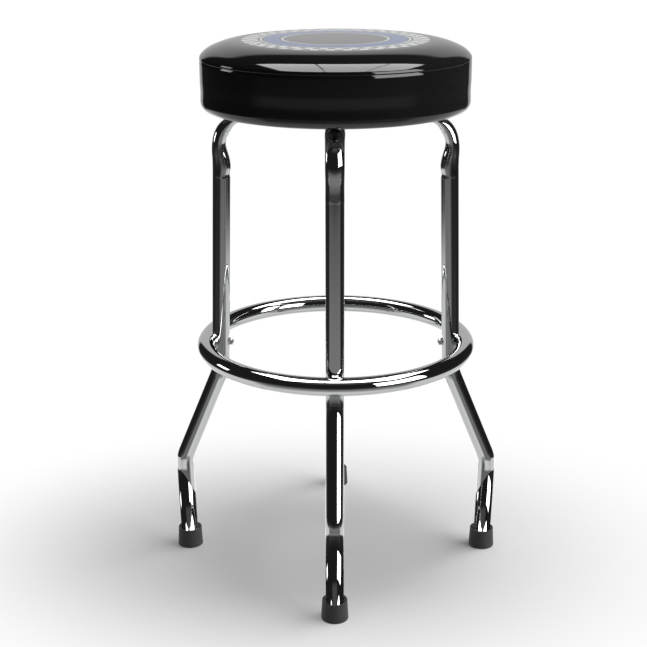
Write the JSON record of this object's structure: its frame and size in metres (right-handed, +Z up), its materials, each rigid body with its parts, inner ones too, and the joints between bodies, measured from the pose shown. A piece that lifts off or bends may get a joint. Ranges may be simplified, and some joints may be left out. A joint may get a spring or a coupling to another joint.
{
  "type": "swivel stool",
  "caption": "Round swivel stool with a padded glossy vinyl seat, bent chromed tube legs, a foot ring and rubber feet.",
  "frame": {"origin": "on the floor at the centre of the footprint, on the seat's swivel axis", "axes": "+Z up along the swivel axis; one leg stands at each of -Y (front), +X (right), +Y (back) and -X (left)"},
  "size_m": [0.4816, 0.4816, 0.762],
  "materials": {
    "chromed_tube": "polished",
    "foot_rubber": "matte",
    "zinc_fastener": "satin",
    "painted_plate": "satin",
    "bearing_steel": "polished",
    "plywood": "matte",
    "foam": "matte",
    "vinyl": "gloss"
  },
  "bodies": {
    "base": {"leg_front": "chromed_tube", "leg_right": "chromed_tube", "leg_back": "chromed_tube", "leg_left": "chromed_tube", "foot_front": "foot_rubber", "foot_right": "foot_rubber", "foot_back": "foot_rubber", "foot_left": "foot_rubber", "foot_discs": "zinc_fastener", "leg_bolts": "zinc_fastener", "leg_washers": "zinc_fastener", "leg_press_nuts": "zinc_fastener", "foot_ring": "chromed_tube", "ring_studs": "zinc_fastener", "ring_washers": "zinc_fastener", "ring_nuts": "zinc_fastener", "swivel_lower_plate": "painted_plate", "swivel_rivet": "zinc_fastener", "swivel_pivot_washer": "zinc_fastener"},
    "ball_cage": {"swivel_ball_cage": "bearing_steel", "swivel_balls": "bearing_steel"},
    "seat": {"swivel_upper_plate": "painted_plate", "seat_board": "plywood", "seat_foam": "foam", "seat_side_band": "vinyl", "seat_top_panel": "vinyl", "seat_plate_screws": "zinc_fastener", "seat_staples": "zinc_fastener"}
  },
  "joints": [
    {"name": "seat_swivel", "type": "hinge", "parent": "base", "child": "seat", "pos_m": [0, 0, 0.6647], "axis": [0, 0, 1], "continuous": true},
    {"name": "cage_roll", "type": "hinge", "parent": "base", "child": "ball_cage", "pos_m": [0, 0, 0.6647], "axis": [0, 0, 1], "continuous": true}
  ],
  "couplings": [
    {"joint": "cage_roll", "follows": "seat_swivel", "ratio": 0.5}
  ]
}
